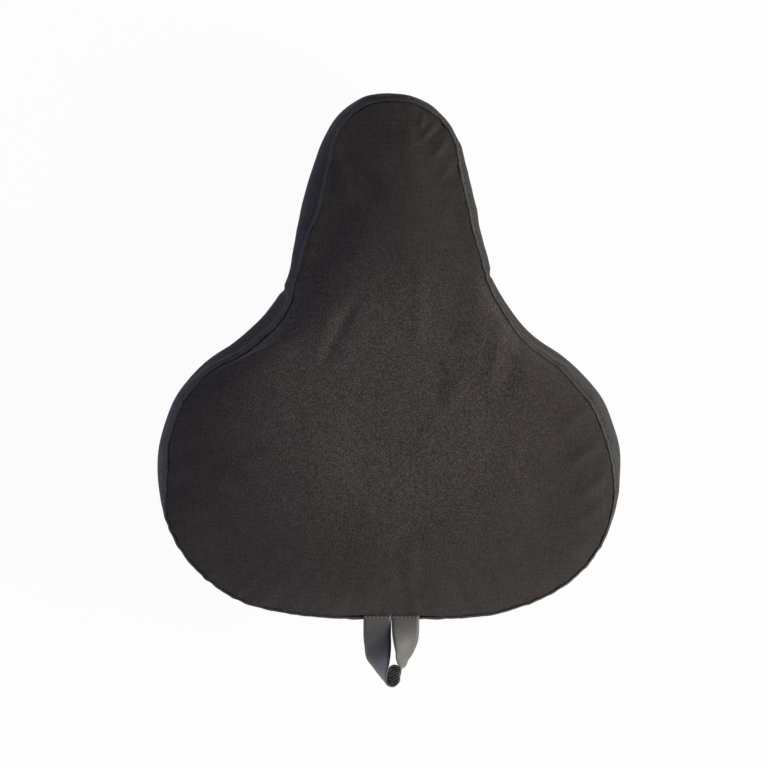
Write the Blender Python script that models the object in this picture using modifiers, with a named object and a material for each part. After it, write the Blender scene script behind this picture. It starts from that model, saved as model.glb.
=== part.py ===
"""Bike saddle cover: a sewn cloth cover with an elasticated hem and a ribbon loop.

The cover stands as it would on a saddle: the nose points along +Y, the width
is along X, and the hem lies on the ground plane. A flat cut top panel is sewn
to a side band all the way round. The band rolls over the edge, bulges, and is
gathered inwards by an elastic that runs in the folded hem. A ribbon is caught
in the rear seam and hangs out behind as a loop.
"""

import math

import bmesh
import bpy
import numpy as np

# Outline of the cover from above, where it bulges most
COVER_LENGTH = 0.2853
REAR_FLAT_HALF = 0.0425
WING_REAR_RADIUS = 0.0834
WING_FRONT_RADIUS = 0.0736
WAIST_RADIUS = 0.0736
NOSE_RADIUS = 0.0403
FLANK_TAPER = math.radians(12.5)

# Heights above the ground plane
REAR_SEAM_HEIGHT = 0.060
NOSE_SEAM_HEIGHT = 0.050
BULGE_HEIGHT = 0.030
REAR_CROWN = 0.014
NOSE_CROWN = 0.011
CROWN_ROUNDNESS = 3.2

# Spine of the top panel, where its two halves crest
SPINE_REAR = 0.060
SPINE_NOSE_SETBACK = 0.032

# Cloth and its seam
CLOTH = 0.0007
CLEARANCE = 0.0003
FOLD_GAP = 0.0002
SEAM_ALLOWANCE = 0.008
TOPSTITCH = 0.0025
SEAM_SLOPE = math.radians(40)
SIDE_INSET = 0.006
NOSE_INSET = 0.0044
REAR_INSET = 0.0025

# Roll of the side band, as lengths of its curve handles
SHOULDER_REACH = 0.0045
BULGE_REACH = 0.012
TUCK_REACH = 0.009
MID_SHOULDER = 0.018

# Hem with its gathers
HEM_CASING = 0.010
SIDE_TUCK = 0.012
END_TUCK = 0.009
WAIST_TUCK = 0.003
WAIST_SPREAD = 0.040
GATHER_COUNT = 30
GATHER_DEPTH = 0.0020
ELASTIC_WIDTH = 0.006
ELASTIC_THICKNESS = 0.0012

# Ribbon loop at the rear
RIBBON_WIDTH = 0.015
RIBBON_THICKNESS = 0.0006
LEG_GAP = 0.0003
LEG_LENGTH = 0.0150
LEG_START_DROOP = math.radians(12)
LEG_END_DROOP = math.radians(45)
TWIST_ONSET = 0.3
BEND_LATENESS = 4
RIBBON_ROOM = 0.0030
RIBBON_RAMP = 0.012

# Fineness of the meshes
STATIONS_PER_GATHER = 5
BEND_STEPS = 8
LEG_STEPS = 6
CURL_STEPS = 24
CURVE_SAMPLES = 200
NEWTON_STEPS = 8
STATIONS = GATHER_COUNT * STATIONS_PER_GATHER


def unit(angle):
    return np.array([math.cos(angle), math.sin(angle)])


def smoothstep(t):
    t = min(max(t, 0.0), 1.0)
    return t * t * (3 - 2 * t)


def arc_points(centre, radius, start, end, side):
    """Points and outward normals on an arc; side is -1 where the arc is hollow."""
    angles = np.linspace(start, end, CURVE_SAMPLES)
    normals = np.array([unit(a) for a in angles])
    return np.asarray(centre) + side * radius * normals, normals


def half_outline():
    """Right half of the outline, rear centre to nose tip, as tangent lines and arcs."""
    nose_centre = np.array([0.0, COVER_LENGTH - NOSE_RADIUS])
    wing_rear_centre = np.array([REAR_FLAT_HALF, WING_REAR_RADIUS])
    wing_front_centre = wing_rear_centre + [WING_REAR_RADIUS - WING_FRONT_RADIUS, 0]
    flank_normal = unit(FLANK_TAPER)
    flank_heading = unit(FLANK_TAPER - math.pi / 2)
    # The waist arc touches the flank and the wing's front arc
    reach = nose_centre + (NOSE_RADIUS + WAIST_RADIUS) * flank_normal - wing_front_centre
    along = reach @ flank_heading
    span = WAIST_RADIUS + WING_FRONT_RADIUS
    flank_length = -along - math.sqrt(along**2 - reach @ reach + span**2)
    waist_centre = wing_front_centre + reach + flank_length * flank_heading
    toward_waist = waist_centre - wing_front_centre
    wing_end = math.atan2(toward_waist[1], toward_waist[0])
    rear = np.linspace([0.0, 0.0], [REAR_FLAT_HALF, 0.0], CURVE_SAMPLES)
    pieces = [
        (rear, np.tile([0.0, -1.0], (CURVE_SAMPLES, 1))),
        arc_points(wing_rear_centre, WING_REAR_RADIUS, -math.pi / 2, 0, 1),
        arc_points(wing_front_centre, WING_FRONT_RADIUS, 0, wing_end, 1),
        arc_points(waist_centre, WAIST_RADIUS, wing_end, FLANK_TAPER, -1),
        arc_points(nose_centre, NOSE_RADIUS, FLANK_TAPER, math.pi / 2, 1),
    ]
    points = np.concatenate([p for p, _ in pieces])
    normals = np.concatenate([n for _, n in pieces])
    travelled = np.concatenate([[0], np.cumsum(np.linalg.norm(np.diff(points, axis=0), axis=1))])
    waist_start, waist_end = travelled[3 * CURVE_SAMPLES], travelled[4 * CURVE_SAMPLES - 1]
    return points, normals, travelled, (waist_start + waist_end) / 2


class Station:
    """One place round the outline, with what the sections there are made from."""

    def __init__(self, point, normal, share, waist):
        self.point = point
        self.normal = normal
        self.share = share
        self.waist = waist
        self.seam_height = seam_height(point[1])
        end_inset = NOSE_INSET if normal[1] > 0 else REAR_INSET
        self.inset = SIDE_INSET + (end_inset - SIDE_INSET) * normal[1] ** 2
        tuck = SIDE_TUCK + (END_TUCK - SIDE_TUCK) * normal[1] ** 2
        self.tuck = tuck + (WAIST_TUCK - tuck) * waist
        self.wave = 0.0

    def place(self, offset, height):
        """A point at an offset outside the outline and a height, waved by the gathers."""
        low = smoothstep((BULGE_HEIGHT - height) / (BULGE_HEIGHT - HEM_CASING))
        x, y = self.point + self.normal * (offset + self.wave * GATHER_DEPTH * low)
        return x, y, height


def seam_height(y):
    rise = NOSE_SEAM_HEIGHT - REAR_SEAM_HEIGHT
    return REAR_SEAM_HEIGHT + rise * smoothstep(y / COVER_LENGTH)


def make_stations():
    """Stations evenly round the outline, from the rear centre by the right side."""
    points, normals, travelled, waist_middle = half_outline()
    half = STATIONS // 2
    stations = []
    for i in range(STATIONS):
        steps = min(i, STATIONS - i)
        side = 1 if i <= half else -1
        distance = travelled[-1] * steps / half
        point = np.array([np.interp(distance, travelled, points[:, k]) for k in (0, 1)])
        normal = np.array([np.interp(distance, travelled, normals[:, k]) for k in (0, 1)])
        normal /= np.linalg.norm(normal)
        waist = math.exp(-(((distance - waist_middle) / WAIST_SPREAD) ** 2))
        mirror = np.array([side, 1])
        station = Station(point * mirror, normal * mirror, steps / half, waist)
        station.wave = math.cos(2 * math.pi * steps / STATIONS_PER_GATHER)
        stations.append(station)
    return stations


def bezier(p0, p1, p2, p3):
    t = np.linspace(0, 1, CURVE_SAMPLES)[:, None]
    p0, p1, p2, p3 = (np.asarray(p, float) for p in (p0, p1, p2, p3))
    return (1 - t) ** 3 * p0 + 3 * (1 - t) ** 2 * t * p1 + 3 * (1 - t) * t**2 * p2 + t**3 * p3


def at_distances(curve, distances):
    """Points on a sampled curve at the given distances from its start."""
    travelled = np.concatenate([[0], np.cumsum(np.linalg.norm(np.diff(curve, axis=0), axis=1))])
    places = [travelled[-1] if d is None else d for d in distances]
    return np.column_stack([np.interp(places, travelled, curve[:, k]) for k in (0, 1)])


def parallel(path, distance):
    """A path moved sideways by a distance, with mitred corners; plus is to its left."""
    steps = np.diff(path, axis=0)
    steps /= np.linalg.norm(steps, axis=1)[:, None]
    lefts = np.column_stack([-steps[:, 1], steps[:, 0]])
    before = np.concatenate([lefts[:1], lefts])
    after = np.concatenate([lefts, lefts[-1:]])
    mitres = (before + after) / (1 + np.sum(before * after, axis=1))[:, None]
    return path + distance * mitres


def thicken(path, thickness):
    """Closed section of a sheet that follows a path through its middle."""
    return np.concatenate([parallel(path, -thickness / 2), parallel(path, thickness / 2)[::-1]])


def shoulder_path(station):
    """Middle of the side band from the top seam down to the bulge, as offset and height."""
    seam = np.array([-station.inset, station.seam_height])
    bulge = np.array([-CLOTH / 2, BULGE_HEIGHT])
    first = seam + SHOULDER_REACH * unit(-SEAM_SLOPE)
    curve = bezier(seam, first, bulge + [0, BULGE_REACH], bulge)
    return at_distances(curve, [0, TOPSTITCH, SEAM_ALLOWANCE, MID_SHOULDER, None])


def under_layer(station, depth):
    """The seam allowance's stretch of the band, at a depth under the band's middle."""
    return parallel(shoulder_path(station), -depth)[:3]


def allowance_depth():
    return CLOTH + FOLD_GAP


def ribbon_depth():
    return allowance_depth() + CLOTH / 2 + CLEARANCE + RIBBON_THICKNESS / 2


def panel_depth(x):
    """Depth of the panel's edge, which makes room for the ribbon's ends at the rear."""
    room_edge = RIBBON_WIDTH + RIBBON_ROOM
    room = 1 - smoothstep((abs(x) - room_edge) / RIBBON_RAMP)
    return allowance_depth() + CLOTH + CLEARANCE + (RIBBON_THICKNESS + CLEARANCE) * room


def band_path(station):
    """Middle of the side band, from its allowance's edge to the hem's turned edge."""
    shoulder = shoulder_path(station)
    allowance = under_layer(station, allowance_depth())[::-1]
    hem = -station.tuck
    casing_top = np.array([hem, HEM_CASING])
    lower = bezier(
        shoulder[-1],
        shoulder[-1] - [0, TUCK_REACH],
        casing_top + [0, TUCK_REACH],
        casing_top,
    )
    length = np.sum(np.linalg.norm(np.diff(lower, axis=0), axis=1))
    lower = at_distances(lower, [length / 3, 2 * length / 3, None])
    channel = hem - CLOTH - 2 * CLEARANCE - ELASTIC_THICKNESS
    elastic_top = CLOTH + CLEARANCE + ELASTIC_WIDTH
    turned = np.array(
        [
            [hem, CLOTH / 2],
            [channel, CLOTH / 2],
            [channel, elastic_top],
            [hem - CLOTH - CLEARANCE, HEM_CASING],
        ]
    )
    return np.concatenate([allowance, shoulder, lower, turned])


def elastic_section(station):
    outer = -station.tuck - CLOTH / 2 - CLEARANCE
    bottom = CLOTH + CLEARANCE
    middle = outer - ELASTIC_THICKNESS / 2
    path = np.array([[middle, bottom], [middle, bottom + ELASTIC_WIDTH]])
    return thicken(path, ELASTIC_THICKNESS)


def new_object(name, bm, material, collection):
    bmesh.ops.recalc_face_normals(bm, faces=bm.faces)
    mesh = bpy.data.meshes.new(name)
    bm.to_mesh(mesh)
    bm.free()
    mesh.materials.append(material)
    mesh.shade_smooth()
    mesh.set_sharp_from_angle(angle=math.radians(40))
    obj = bpy.data.objects.new(name, mesh)
    collection.objects.link(obj)
    return obj


def bridge(bm, first, second, closed):
    """Quads between two rows of vertices."""
    count = len(first)
    for i in range(count if closed else count - 1):
        j = (i + 1) % count
        bm.faces.new((first[i], first[j], second[j], second[i]))


def ring_of_sections(sections):
    """A loft through closed sections that follow each other round a ring."""
    bm = bmesh.new()
    rows = [[bm.verts.new(p) for p in section] for section in sections]
    for i, row in enumerate(rows):
        bridge(bm, row, rows[(i + 1) % len(rows)], closed=True)
    return bm


def add_thickness(obj, thickness):
    solidify = obj.modifiers.new("cloth_thickness", "SOLIDIFY")
    solidify.thickness = thickness
    solidify.offset = 0
    solidify.use_even_offset = True


def principled(name, colour, roughness):
    material = bpy.data.materials.new(name)
    material.use_nodes = True
    shader = material.node_tree.nodes["Principled BSDF"]
    shader.inputs["Base Color"].default_value = (*colour, 1)
    shader.inputs["Roughness"].default_value = roughness
    shader.inputs["Metallic"].default_value = 0
    material.diffuse_color = (*colour, 1)
    return material


def make_side_band(stations, collection):
    """The strip round the side: seam allowance, roll, bulge, gathers and folded hem."""
    sections = []
    for station in stations:
        section = thicken(band_path(station), CLOTH)
        sections.append([station.place(*point) for point in section])
    material = principled("band_cloth", (0.034, 0.034, 0.038), 0.92)
    return new_object("side_band", ring_of_sections(sections), material, collection)


def make_hem_elastic(stations, collection):
    """The elastic ring inside the hem."""
    sections = []
    for station in stations:
        sections.append([station.place(*point) for point in elastic_section(station)])
    material = principled("black_elastic", (0.012, 0.012, 0.013), 0.85)
    return new_object("hem_elastic", ring_of_sections(sections), material, collection)


def panel_crown(y):
    return REAR_CROWN + (NOSE_CROWN - REAR_CROWN) * smoothstep(y / COVER_LENGTH)


def make_top_panel(stations, collection):
    """The crowned top, whose edge runs on under the band's seam allowance."""
    spine_front = COVER_LENGTH - SPINE_NOSE_SETBACK
    inward_shares = (0.08, 0.22, 0.42, 0.70, 1.0)
    bm = bmesh.new()
    rows = []
    for station in stations:
        edge = under_layer(station, panel_depth(station.point[0]))
        row = [station.place(*point) for point in edge[::-1]]
        seam_x, seam_y, seam_z = row[-1]
        sunk = seam_height(seam_y) - seam_z
        spine_y = SPINE_REAR + (spine_front - SPINE_REAR) * station.share
        for share in inward_shares:
            y = seam_y + (spine_y - seam_y) * share
            rise = panel_crown(y) * (1 - (1 - share) ** CROWN_ROUNDNESS)
            height = seam_height(y) - sunk * (1 - share) + rise
            row.append((seam_x * (1 - share), y, height))
        rows.append([bm.verts.new(point) for point in row])
    for i, row in enumerate(rows):
        bridge(bm, row, rows[(i + 1) % len(rows)], closed=False)
    # Both halves meet on the spine
    bmesh.ops.remove_doubles(bm, verts=bm.verts, dist=CLOTH / 100)
    bmesh.ops.dissolve_degenerate(bm, edges=bm.edges, dist=CLOTH / 100)
    material = principled("panel_cloth", (0.043, 0.037, 0.038), 0.92)
    obj = new_object("top_panel", bm, material, collection)
    add_thickness(obj, CLOTH)
    return obj


def ribbon_section_path(rear):
    """Middle of a ribbon leg in the plane of symmetry, as Y and Z, root to curl."""
    root = under_layer(rear, ribbon_depth())[::-1]
    root = np.column_stack([-root[:, 0], root[:, 1]])
    fold = under_layer(rear, allowance_depth() / 2)[0]
    fold = np.array([-fold[0], fold[1]])
    bend_radius = ribbon_depth() - allowance_depth() / 2
    # The ribbon comes up the seam, turns over the band's fold and heads outwards
    start = -math.pi / 2 + SEAM_SLOPE
    end = math.pi / 2 + LEG_START_DROOP
    bend = [fold + bend_radius * unit(a) for a in np.linspace(start, end, BEND_STEPS + 1)]
    path = [*root[:-1], *bend]
    droops = np.linspace(LEG_START_DROOP, LEG_END_DROOP, LEG_STEPS)
    for droop in droops:
        path.append(path[-1] + LEG_LENGTH / LEG_STEPS * unit(math.pi + droop))
    return np.array(path)


def turned(vector, axis, angle):
    """A vector turned about a unit axis."""
    across = np.cross(axis, vector) * math.sin(angle)
    return vector * math.cos(angle) + across + axis * (axis @ vector) * (1 - math.cos(angle))


def curl(twist, bend):
    """Headings and width directions along a curl with the given total twist and bend.

    The ribbon twists about its own length first and bends about its width last, and
    never bends in its own plane, as a flat strip can't.
    """
    heading = np.array([0.0, -math.cos(LEG_END_DROOP), -math.sin(LEG_END_DROOP)])
    width = np.array([1.0, 0.0, 0.0])
    u = (np.arange(CURL_STEPS) + 0.5) / CURL_STEPS
    twists = (1 - u) * u**TWIST_ONSET
    bends = u**BEND_LATENESS
    headings, widths = [], [width]
    for by_twist, by_bend in zip(twist * twists / twists.sum(), bend * bends / bends.sum()):
        turn = by_twist * heading + by_bend * width
        angle = np.linalg.norm(turn)
        headings.append(turned(heading, turn / angle, angle / 2))
        heading, width = (turned(v, turn / angle, angle) for v in (heading, width))
        widths.append(width)
    return np.array(headings), widths, heading


def closing_turns():
    """Twist and bend with which the curl ends heading sideways, by Newton's method."""
    turns = np.array([math.pi / 2, math.pi / 2])
    nudge = 1e-6
    for _ in range(NEWTON_STEPS):
        miss = curl(*turns)[2][1:]
        slopes = [(curl(*(turns + step))[2][1:] - miss) / nudge for step in nudge * np.eye(2)]
        turns = turns - np.linalg.solve(np.column_stack(slopes), miss)
    return turns


def curl_places(start, half_gap):
    """Middle and width direction of the ribbon from a leg's end to the loop's centre."""
    headings, widths, _ = curl(*closing_turns())
    step = half_gap / headings[:, 0].sum()
    steps = np.concatenate([np.zeros((1, 3)), np.cumsum(headings * step, axis=0)])
    return list(np.asarray(start) + steps), widths


def ribbon_edges(rear):
    """The ribbon's two edges along its whole length, from end to end."""
    half_gap = (RIBBON_WIDTH + LEG_GAP) / 2
    leg = [np.array([-half_gap, y, z]) for y, z in ribbon_section_path(rear)]
    places, widths = curl_places(leg[-1], half_gap)
    middles = leg + places[1:]
    widths = [np.array([1.0, 0.0, 0.0])] * len(leg) + widths[1:]
    outer = [m - RIBBON_WIDTH / 2 * w for m, w in zip(middles, widths)]
    inner = [m + RIBBON_WIDTH / 2 * w for m, w in zip(middles, widths)]
    mirror = np.array([-1, 1, 1])
    outer += [p * mirror for p in outer[-2::-1]]
    inner += [p * mirror for p in inner[-2::-1]]
    return outer, inner


def make_pull_loop(rear, collection):
    """The ribbon: both ends in the rear seam, two legs and the curled end."""
    outer, inner = ribbon_edges(rear)
    bm = bmesh.new()
    bridge(bm, [bm.verts.new(p) for p in outer], [bm.verts.new(p) for p in inner], closed=False)
    material = principled("grey_ribbon", (0.068, 0.071, 0.073), 0.7)
    obj = new_object("pull_loop", bm, material, collection)
    add_thickness(obj, RIBBON_THICKNESS)
    return obj


def main():
    for obj in list(bpy.data.objects):
        bpy.data.objects.remove(obj, do_unlink=True)
    collection = bpy.data.collections.new("bike_saddle_cover")
    bpy.context.scene.collection.children.link(collection)
    stations = make_stations()
    parts = [
        make_side_band(stations, collection),
        make_hem_elastic(stations, collection),
        make_top_panel(stations, collection),
        make_pull_loop(stations[0], collection),
    ]
    # The middle of the whole length, loop included, comes to the origin
    loop_back = min(p[1] for edge in ribbon_edges(stations[0]) for p in edge)
    frame = bpy.data.objects.new("cover_frame", None)
    frame.location.y = -(COVER_LENGTH + loop_back) / 2
    collection.objects.link(frame)
    for part in parts:
        part.parent = frame


main()
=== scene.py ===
"""Looks of a cloth saddle cover with a ribbon loop, built round its CAD frame.

Lengths are in metres, the nose points along +Y and the top panel faces +Z. Each piece
of cloth is a grid: one direction runs round the cover's outline, or along the ribbon,
and the other follows the cloth's profile or width.
"""

import math

import bpy
import numpy as np
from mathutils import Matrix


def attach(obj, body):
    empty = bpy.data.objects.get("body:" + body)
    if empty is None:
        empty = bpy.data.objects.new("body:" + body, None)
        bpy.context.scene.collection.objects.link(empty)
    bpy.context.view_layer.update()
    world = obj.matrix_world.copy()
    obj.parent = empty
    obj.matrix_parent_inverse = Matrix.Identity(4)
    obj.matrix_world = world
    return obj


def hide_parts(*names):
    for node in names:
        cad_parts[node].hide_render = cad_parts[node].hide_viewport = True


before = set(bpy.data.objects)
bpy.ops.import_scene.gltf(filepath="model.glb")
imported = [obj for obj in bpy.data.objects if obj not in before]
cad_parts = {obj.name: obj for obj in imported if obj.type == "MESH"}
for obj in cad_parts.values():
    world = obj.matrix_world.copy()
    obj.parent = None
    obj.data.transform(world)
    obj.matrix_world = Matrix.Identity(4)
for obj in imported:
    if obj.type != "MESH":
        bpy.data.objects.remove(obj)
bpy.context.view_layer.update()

# Outline of the cover from above, as in the solids
COVER_LENGTH = 0.2853
REAR_EDGE_Y = -0.12383
REAR_FLAT_HALF = 0.0425
WING_REAR_RADIUS = 0.0834
WING_FRONT_RADIUS = 0.0736
WAIST_RADIUS = 0.0736
NOSE_RADIUS = 0.0403
FLANK_TAPER = math.radians(12.5)

# Heights, and the crown of the top panel
REAR_SEAM_HEIGHT = 0.060
NOSE_SEAM_HEIGHT = 0.050
BULGE_HEIGHT = 0.030
REAR_CROWN = 0.014
NOSE_CROWN = 0.0078
# The crown is a broad flat top with steep edges at the rear, which goes over to a tent with
# a rounded ridge at the nose: the flat top's power, the ridge's softness as a share of the
# half width, and where along the cover the one goes over to the other
FLATNESS = 3.2
RIDGE_SOFTNESS = 0.27
CROWN_CHANGE = (0.140, 0.215)
SPINE_REAR = 0.060
SPINE_NOSE_SETBACK = 0.032

# Cloth layers at the seam
CLOTH = 0.0004
CLEARANCE = 0.0001
FOLD_GAP = 0.00005
SEAM_ALLOWANCE = 0.008
TOPSTITCH = 0.0025
SEAM_SLOPE = math.radians(40)
SHOULDER_REACH = 0.0045
SHOULDER_FULLNESS = 1.6
BULGE_REACH = 0.012
TUCK_REACH = 0.009

# Relief of the band beside the seam: height, distance down from the fold and half width.
# Topstitching presses a groove, with a padded lip between it and the seam.
GROOVE = (-0.00022, TOPSTITCH, 0.0007)
LIP = (0.00018, TOPSTITCH / 2, 0.0008)
BAND_PUCKER = (0.00024, 0.0, 0.007)
BAND_SLACK = (0.00030, 0.008, 0.006)

# Relief of the panel: its slow and short waves, and its puckers and pulls with their reach
SLOW_WAVE = 0.00040
SHORT_WAVE = 0.00010
PANEL_PUCKER = 0.00020
PUCKER_REACH = 0.006
PANEL_PULL = 0.00028
PULL_REACH = 0.016

# How far the seam lies inside the outline, in mm, from the rear centre (0) to the nose (1)
RIGHT_INSET = (
    (0, 1.6), (0.05, 1.2), (0.10, 1.0), (0.20, 1.0), (0.33, 1.3), (0.36, 2.0), (0.39, 4.0),
    (0.41, 5.4), (0.43, 6.8), (0.46, 7.0), (0.50, 8.2), (0.52, 8.6), (0.55, 8.2), (0.575, 7.9),
    (0.60, 6.3), (0.62, 5.6), (0.64, 4.4), (0.67, 3.3), (0.69, 2.9), (0.706, 2.4), (0.739, 2.4),
    (0.771, 3.2), (0.81, 3.3), (0.843, 3.4), (0.882, 2.3), (0.92, 2.2), (0.96, 3.0), (1, 3.6),
)
LEFT_INSET = (
    (0, 1.6), (0.05, 1.2), (0.10, 0.8), (0.20, 0.5), (0.30, 0.5), (0.345, 0.8), (0.37, 4.6),
    (0.385, 6.0), (0.405, 6.4), (0.42, 6.4), (0.45, 5.8), (0.50, 5.6), (0.55, 6.4), (0.60, 8.2),
    (0.64, 8.8), (0.668, 9.2), (0.688, 7.4), (0.705, 5.4), (0.736, 5.4), (0.76, 6.4),
    (0.774, 6.9), (0.792, 8.6), (0.82, 9.8), (0.85, 9.9), (0.875, 9.2), (0.90, 7.4),
    (0.93, 6.0), (0.96, 4.4), (1, 3.6),
)
# How far the sides stand outside the plain outline, in mm, from the rear centre to the nose
RIGHT_SWELL = (
    (0, 0), (0.08, -0.4), (0.12, -1.6), (0.16, -1.8), (0.20, -0.8), (0.24, 0.7), (0.28, 1.6),
    (0.32, 0.8), (0.36, 0.3), (0.44, 0.6), (0.50, -0.2), (0.56, -1.0), (0.60, 0.2),
    (0.64, 1.0), (0.70, 1.5), (0.72, 0.1), (0.76, 0.3), (0.82, 0.9), (0.86, 0.6),
    (0.88, -0.5), (0.94, 1.3), (0.98, 0.3), (1, 1.0),
)
LEFT_SWELL = (
    (0, 0), (0.08, -0.6), (0.12, -3.0), (0.16, -2.3), (0.20, -0.8), (0.24, -0.8), (0.28, 0.3),
    (0.40, 0), (0.44, -0.4), (0.52, 0.1), (0.56, -0.4), (0.60, 0.6), (0.66, 0.6),
    (0.70, -0.3), (0.74, 0.7), (0.78, 3.1), (0.80, 3.9), (0.84, 2.1), (0.86, 1.0),
    (0.90, -1.3), (0.94, 0.3), (1, 1.0),
)
# Behind this share the seam moves out with the swell
SEAM_FREE = 0.30
SEAM_FREE_RAMP = 0.10
# Blur of these tables, in stations round the cover
MEASURE_BLUR = 4

# Hem, its gathers and the elastic
HEM_CASING = 0.010
SIDE_TUCK = 0.012
END_TUCK = 0.009
WAIST_TUCK = 0.003
WAIST_SPREAD = 0.040
GATHER_COUNT = 30
GATHER_DEPTH = 0.0020
ELASTIC_WIDTH = 0.006
ELASTIC_THICKNESS = 0.0012
CHANNEL_MIDDLE = 0.0045
HEM_STITCH_HEIGHT = 0.0088

# Round the waist the lower band stands out beyond the rolled seam, up to a kink on each
# side; from there to the nose the roll overhangs it. Shares run from the rear to the nose.
BRIDGE_START = 0.50
BRIDGE_RAMP = 0.13
RIGHT_KINK = 0.714
LEFT_KINK = 0.691
KINK_RAMP = 0.016
RIGHT_ROLL_IN = 0.0026
LEFT_ROLL_IN = 0.0038
ROLL_IN_HEIGHT = 0.0435
ROLL_IN_TALL = 0.0055
OVERHANG_END = 0.84
OVERHANG_FADE = 0.08
OVERHANG_OUT = 0.0014
OVERHANG_HEIGHT = 0.0455
OVERHANG_TALL = 0.0060
UNDER_DEPTH = 0.0022
UNDER_HEIGHT = 0.027
UNDER_TALL = 0.0110

# The cover sits a little askew, so that its seam lies higher on the right flank
SEAM_LIFT = 0.0028
LIFT_START = 0.58
LIFT_END = 0.86
LIFT_RAMP = 0.08

# Slight wander of the whole outline
WANDER = 0.00030

# Ribbon loop
RIBBON_WIDTH = 0.015
RIBBON_THICKNESS = 0.0006
LEG_GAP = 0.0001
LEG_START_DROOP = math.radians(12)
# The loop's middle line from the left leg's root to the right leg's root: x, y and z in mm,
# and how far the ribbon's inner edge has rolled up about that line, in degrees
LOOP_LINE = (
    (-6.1, -131.9, 60.0, 8),
    (-5.8, -137.4, 59.2, 17),
    (-5.6, -143.0, 59.1, 29),
    (-4.6, -148.2, 58.3, 53),
    (-3.5, -153.3, 57.6, 75),
    (-1.4, -157.7, 56.9, 91),
    (0.9, -156.3, 57.0, 117),
    (4.0, -152.0, 58.2, 122),
    (7.3, -149.6, 58.5, 84),
    (7.7, -145.1, 58.7, 65),
    (8.8, -140.5, 59.5, 50),
    (9.2, -135.8, 60.1, 32),
    (9.2, -131.0, 60.3, 17),
)
LOOP_SAMPLES = 8
TACK_ROW = 25
TACK_PITCH = 0.0019
TACK_LENGTH = 0.0012
RIBBON_SHIFT = 0.0015
RIBBON_ROOM = 0.0030
RIBBON_RAMP = 0.012

# Threads
THREAD = 0.00045
STITCH_LENGTH = 0.0026
STITCH_PITCH = 0.0034

# Folds of the top panel in mm: start x, y, end x, y, half width, rise (minus is a valley)
FOLDS = (
    # The nose: a crease under its dark cap, the flat beside it, a hollow down the left flank
    (-27, 133, -6, 112, 4.0, -1.30),
    (-33, 124, -20, 104, 4.5, 0.90),
    (-31, 131, -32, 108, 1.6, -0.60),
    (-22, 98, -47, 52, 7.0, -0.90),
    # Wrinkles that the nose seam's curve throws to the right
    (21, 157, 17, 143, 2.0, 0.70),
    (29, 148, 19, 137, 2.0, 0.80),
    (35, 138, 24, 127, 2.2, 0.80),
    (38, 124, 28, 116, 2.2, 0.60),
    # Drag lines from the waist into the middle
    (-19, 47, -35, 15, 3.0, -0.80),
    (-31, 46, -39, 16, 3.2, 0.55),
    (17, 66, 15, 20, 3.5, 0.60),
    (26, 16, 28, -4, 3.0, -0.55),
    (41, 9, 18, -28, 2.6, 0.60),
    (50, 60, 54, 28, 12.0, 1.20),
    (61, 37, 54, 4, 3.0, 0.80),
    (73, 33, 62, 0, 3.5, -0.60),
    # The left wing
    (-60, -1, -56, -20, 4.0, 0.50),
    (-101, -5, -64, -14, 4.5, -0.60),
    (-114, -36, -88, -52, 4.5, 0.90),
    (-118, -48, -90, -60, 4.5, -0.70),
    # Wrinkles round the right wing
    (110, -8, 94, -20, 2.4, 0.80),
    (116, -27, 99, -38, 2.4, 0.90),
    (119, -44, 104, -57, 2.4, 0.90),
    (118, -60, 102, -71, 2.4, 0.70),
    (114, -78, 99, -86, 2.4, 0.50),
    # The rear, over the ribbon
    (13, -82, 11, -104, 3.5, 0.35),
)
# The ridge, where the panel's two halves meet: y and x in mm
RIDGE_LINE = ((-64, 0), (0, 0), (60, 1.5), (88, 3.0), (104, 6.5), (118, 10.0), (131, 12.0))
SPINE_EASE = 0.18

# How far in from the seam the panel has come up to the band's height
SEAM_RISE = 0.0003

# Fineness of the grids
STATIONS = 630
ARC_SAMPLES = 200
ALLOWANCE_ROWS = 13
FOLD_ROWS = 5
SHOULDER_ROWS = 13
LOWER_ROWS = 15
CASING_ROWS = 5
TURN_ROWS = 8
NEAR_SEAM = (0.00006, 0.00012, 0.00018, 0.00024, 0.0003, 0.00045, 0.0007, 0.0012, 0.0020)
PANEL_ROWS = 44
RIBBON_COLUMNS = 9
ELASTIC_SIDES = 20

# The photo's camera, straight above, and how wide its frame is at the bulge's height
CAMERA_X = -0.00245
CAMERA_Y = 0.0038
CAMERA_HEIGHT = 3.0
FRAME_WIDTH = 0.4186
SENSOR_WIDTH = 36.0


# Curves shared by the pieces


def unit(angle):
    return np.array([math.cos(angle), math.sin(angle)])


def smoothstep(t):
    t = np.clip(t, 0.0, 1.0)
    return t * t * (3 - 2 * t)


def bell(t):
    return np.exp(-(t**2))


def hump(distances, height, place, spread):
    """A bell of a height round a place; minus is a groove."""
    return height * bell((distances - place) / spread)


def arc(centre, radius, start, end, side):
    """Circle arc: centre plus radius times the unit normal at angles from start to end."""
    angles = np.linspace(start, end, ARC_SAMPLES)
    normals = np.column_stack([np.cos(angles), np.sin(angles)])
    return np.asarray(centre) + side * radius * normals, normals


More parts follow.
